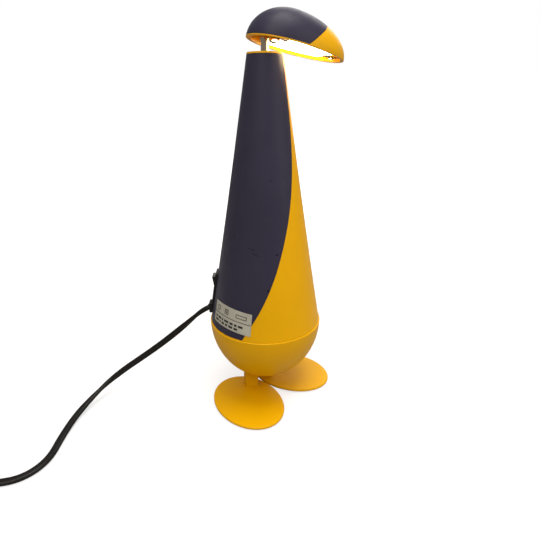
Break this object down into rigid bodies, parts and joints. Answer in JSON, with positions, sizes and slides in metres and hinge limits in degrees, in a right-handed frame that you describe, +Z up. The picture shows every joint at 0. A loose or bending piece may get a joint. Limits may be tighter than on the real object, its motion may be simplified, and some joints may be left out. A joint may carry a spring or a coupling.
{
  "type": "table lamp",
  "caption": "Penguin-shaped table lamp: turning body and neck, tilting egg-shaped head with a lamp behind glass, back rocker switch and a mains lead with a plug.",
  "frame": {"origin": "on the surface the lamp stands on, under the middle of the lamp without its lead", "axes": "+X the way the body faces, away from its switch; -Y towards the body's right side; +Z up"},
  "size_m": [0.3785, 0.1797, 0.3245],
  "materials": {
    "yellow_plastic": "satin moulded yellow",
    "navy_plastic": "fine satin navy",
    "black_plastic": "matte black",
    "rocker_plastic": "gloss black",
    "foot_rubber": "matte",
    "zinc_steel": "zinc plated",
    "ballast_iron": "as cast",
    "nylon": "natural nylon",
    "core_steel": "laminated",
    "winding_tape": "amber tape over the coils",
    "brass": "plain",
    "neck_chrome": "polished",
    "spring_steel": "blued",
    "lead_sleeve": "white sleeving",
    "cord_pvc": "satin black",
    "tie_plastic": "matte",
    "label_paper": "matte grey",
    "reflector_aluminium": "bright",
    "white_ceramic": "unglazed",
    "clear_glass": "clear"
  },
  "bodies": {
    "body": {"body_shell": "yellow_plastic", "back_cover": "navy_plastic", "body_floor": "black_plastic", "floor_screws": "zinc_steel", "neck_bush": "black_plastic", "transformer_core": "core_steel", "transformer_winding": "winding_tape", "transformer_bracket": "zinc_steel", "transformer_screws": "zinc_steel", "terminal_block": "nylon", "terminal_screws": "brass", "mains_lead": "lead_sleeve", "lamp_lead": "lead_sleeve", "switch_leads": "lead_sleeve", "switch_housing": "black_plastic", "switch_terminals": "brass", "strain_relief": "black_plastic", "rating_label": "label_paper", "cord_run": "cord_pvc", "cord_coil": "cord_pvc", "cord_tie": "tie_plastic", "plug_body": "cord_pvc", "plug_pins": "neck_chrome"},
    "base": {"base_bowl": "yellow_plastic", "left_foot": "yellow_plastic", "right_foot": "yellow_plastic", "foot_pads": "foot_rubber", "foot_screws": "zinc_steel", "ballast_weight": "ballast_iron", "ballast_screw": "zinc_steel", "swivel_plate": "black_plastic", "plate_screws": "zinc_steel", "thrust_washer": "nylon", "swivel_bolt": "zinc_steel", "spring_washer": "zinc_steel", "swivel_nut": "zinc_steel"},
    "neck": {"neck_tube": "neck_chrome", "neck_lead": "lead_sleeve", "neck_clip": "zinc_steel", "neck_eye": "neck_chrome"},
    "head": {"head_shell": "yellow_plastic", "head_cover": "navy_plastic", "tilt_bracket": "zinc_steel", "bracket_screws": "zinc_steel", "tilt_pin": "neck_chrome", "tilt_nut": "zinc_steel", "friction_washers": "nylon", "reflector": "reflector_aluminium", "lamp_holder": "white_ceramic", "bulb_glass": "clear_glass", "bulb_pins": "neck_chrome", "cover_glass": "clear_glass", "glass_clips": "spring_steel", "clip_screws": "zinc_steel"},
    "rocker": {"switch_rocker": "rocker_plastic"}
  },
  "joints": [
    {"name": "body_swivel", "type": "hinge", "parent": "body", "child": "base", "pos_m": [-0.0066, 0.0067, 0.075], "axis": [0, 0, 1], "continuous": true},
    {"name": "head_turn", "type": "hinge", "parent": "body", "child": "neck", "pos_m": [-0.0066, 0.0067, 0.29], "axis": [0, 0, 1], "range_deg": [-101, 49]},
    {"name": "head_tilt", "type": "hinge", "parent": "neck", "child": "head", "pos_m": [-0.0066, 0.0067, 0.311], "axis": [-0.4384, 0.8988, 0], "range_deg": [-26.7, 13.3]},
    {"name": "switch_toggle", "type": "hinge", "parent": "body", "child": "rocker", "pos_m": [-0.04944, 0.0067, 0.10392], "axis": [0, 1, 0], "range_deg": [0, 22]}
  ]
}
